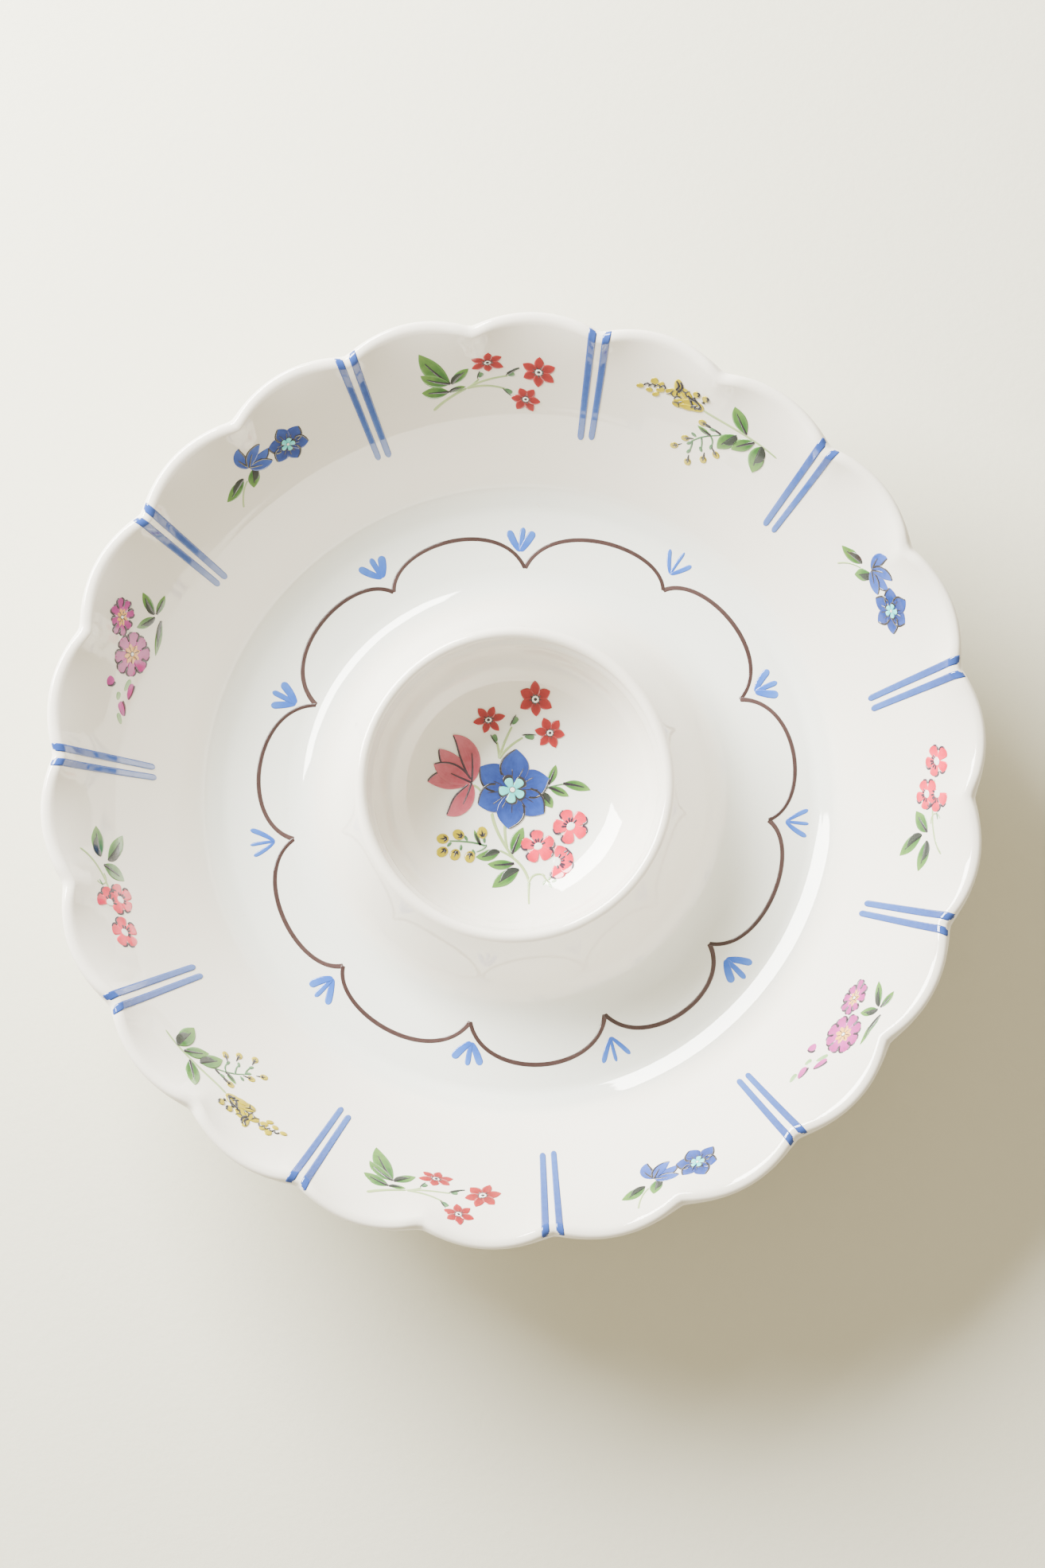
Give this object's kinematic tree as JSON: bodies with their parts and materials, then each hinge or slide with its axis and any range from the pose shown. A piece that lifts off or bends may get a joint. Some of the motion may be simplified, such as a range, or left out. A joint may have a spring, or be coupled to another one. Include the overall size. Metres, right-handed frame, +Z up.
{
  "type": "chip and dip server",
  "caption": "Round scalloped stoneware dish for chips with a dip bowl fixed in its middle, on turned foot rings.",
  "frame": {"origin": "on the table under the centre of the dish, at the height of the foot rings' standing faces", "axes": "+Z up, along the axis that the dish was turned about; -Y runs through a notch of the scalloped rim"},
  "size_m": [0.368, 0.3652, 0.076],
  "materials": {
    "white_glaze": "glossy warm white glaze",
    "bare_stoneware": "unglazed, wiped foot",
    "blue_underglaze": "brushed blue under clear glaze",
    "brown_underglaze": "fine brushed brown line under clear glaze",
    "flower_colours": "many-coloured flower sprays under clear glaze"
  },
  "bodies": {
    "root": {"platter": "white_glaze", "dip_bowl": "white_glaze", "bowl_skirt": "white_glaze", "outer_foot_ring": "bare_stoneware", "inner_foot_ring": "bare_stoneware"}
  },
  "joints": []
}
